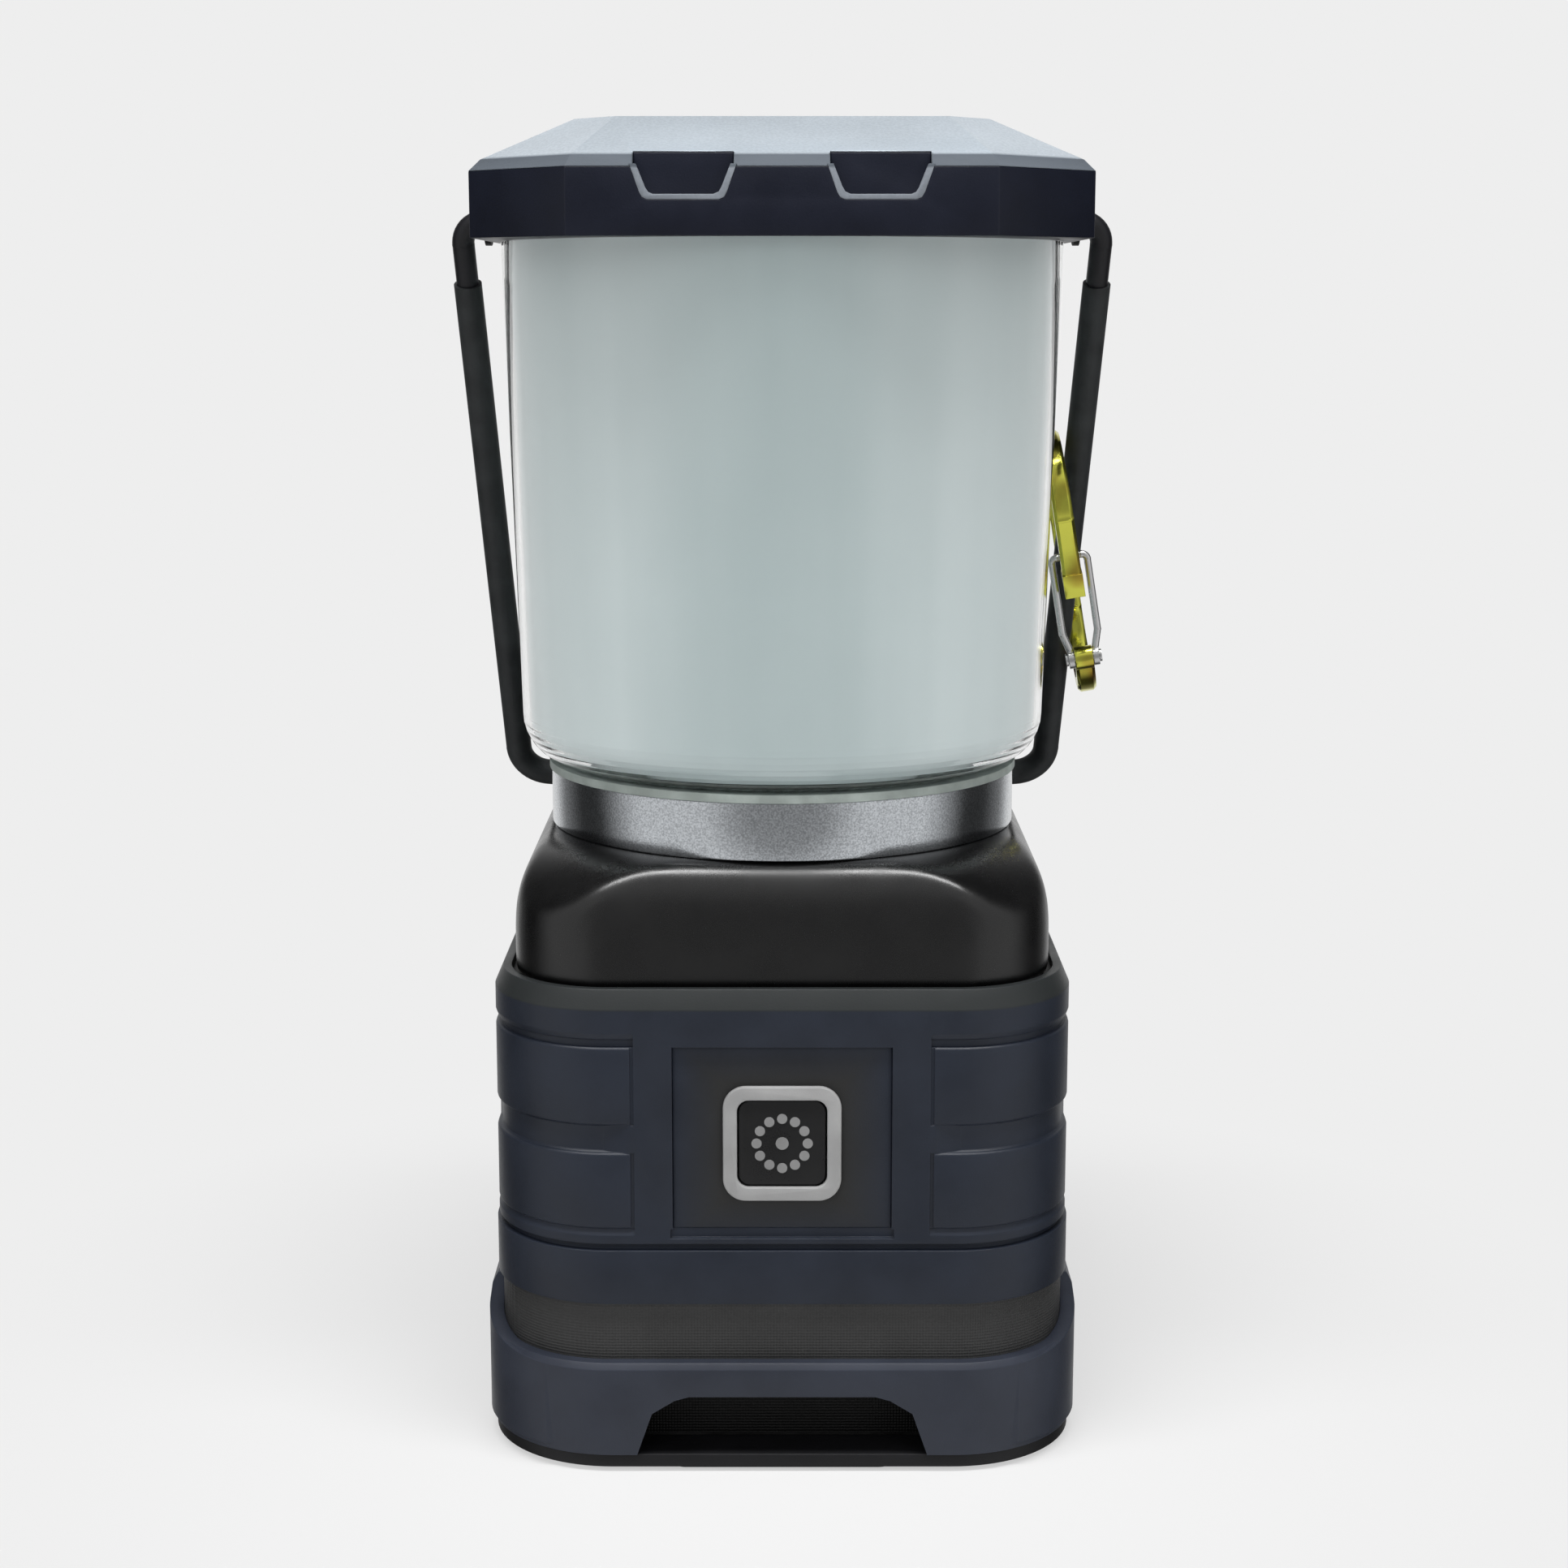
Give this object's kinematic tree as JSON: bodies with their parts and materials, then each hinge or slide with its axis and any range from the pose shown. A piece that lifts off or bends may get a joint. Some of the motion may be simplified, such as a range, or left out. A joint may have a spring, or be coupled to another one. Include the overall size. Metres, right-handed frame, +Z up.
{
  "type": "camping lantern",
  "caption": "Battery camping lantern with a domed body, round shade, octagonal cap, swinging wire bail and a small carabiner on one arm.",
  "frame": {"origin": "centre of the base, at the level of the foot pads' undersides", "axes": "+Z up, -Y towards the side with the push button, +X to the right of someone facing the button"},
  "size_m": [0.1147, 0.1, 0.2187],
  "materials": {
    "navy_plastic": "matte",
    "dark_plastic": "satin",
    "black_plastic": "matte",
    "cap_navy": "satin",
    "cap_silver": "satin",
    "ring_grey": "satin",
    "icon_grey": "matte",
    "neck_silver": "brushed",
    "seal_rubber": "matte",
    "black_rubber": "matte",
    "globe_clear": "clear",
    "diffuser_opal": "opal",
    "white_plastic": "matte",
    "board_green": "satin",
    "led_yellow": "gloss",
    "steel": "brushed",
    "black_steel": "satin",
    "column_aluminium": "satin",
    "brass": "anodised gold",
    "cell_can": "satin",
    "lead_red": "satin"
  },
  "bodies": {
    "lantern": {"foot_pads": "black_rubber", "base_plate": "black_plastic", "base_screws": "steel", "base_bumper": "navy_plastic", "lower_housing": "dark_plastic", "battery_tray": "dark_plastic", "cell_1": "cell_can", "cell_2": "cell_can", "cell_3": "cell_can", "cell_4": "cell_can", "top_contacts": "steel", "battery_leads": "lead_red", "grip_sleeve": "navy_plastic", "switch_panel": "dark_plastic", "button_ring": "ring_grey", "button_spring": "steel", "switch_board": "board_green", "tact_switch": "black_plastic", "upper_housing": "dark_plastic", "driver_board": "board_green", "board_screws": "steel", "housing_screws": "steel", "led_leads": "lead_red", "neck_ring": "neck_silver", "shade_seal": "seal_rubber", "led_plate": "column_aluminium", "light_column": "column_aluminium", "led_boards": "white_plastic", "led_chips": "led_yellow", "cap_reflector": "white_plastic", "diffuser": "diffuser_opal", "globe": "globe_clear", "cap_body": "cap_navy", "cap_screws": "steel", "top_plate": "cap_silver", "bail_bushes": "black_plastic"},
    "door": {"base_door": "black_plastic", "door_seal": "seal_rubber", "cell_springs": "steel"},
    "door_screw": {"door_screw": "steel"},
    "button": {"button_cap": "dark_plastic", "button_icon": "icon_grey"},
    "bail": {"bail_wire": "black_steel", "bail_sleeve": "black_rubber", "bail_clips": "steel"},
    "carabiner": {"carabiner_body": "brass", "gate_rivet": "steel"},
    "gate": {"gate_wire": "steel"}
  },
  "joints": [
    {"name": "bail_swing", "type": "hinge", "parent": "lantern", "child": "bail", "pos_m": [0, 0, 0.2035], "axis": [1, 0, 0], "range_deg": [0, 311.8]},
    {"name": "carabiner_slide", "type": "slide", "parent": "bail", "child": "carabiner", "axis": [0.0363, -0.4081, 0.9122], "range_m": [-0.01, 0.01]},
    {"name": "gate_swing", "type": "hinge", "parent": "carabiner", "child": "gate", "pos_m": [0.05474, 0.01861, 0.12645], "axis": [-0.9839, 0.0523, -0.171], "range_deg": [0, 18], "stiffness_Nm_per_rad": 0.02, "springref_deg": -5.73},
    {"name": "button_press", "type": "slide", "parent": "lantern", "child": "button", "axis": [0, 1, 0], "range_m": [0, 0.001], "stiffness_N_per_m": 500, "springref_m": -0.001},
    {"name": "door_drop", "type": "slide", "parent": "lantern", "child": "door", "axis": [0, 0, -1], "range_m": [0, 0.02]},
    {"name": "door_screw_turn", "type": "hinge", "parent": "door", "child": "door_screw", "pos_m": [0, 0, 0.003], "axis": [0, 0, 1], "range_deg": [0, 720]}
  ]
}
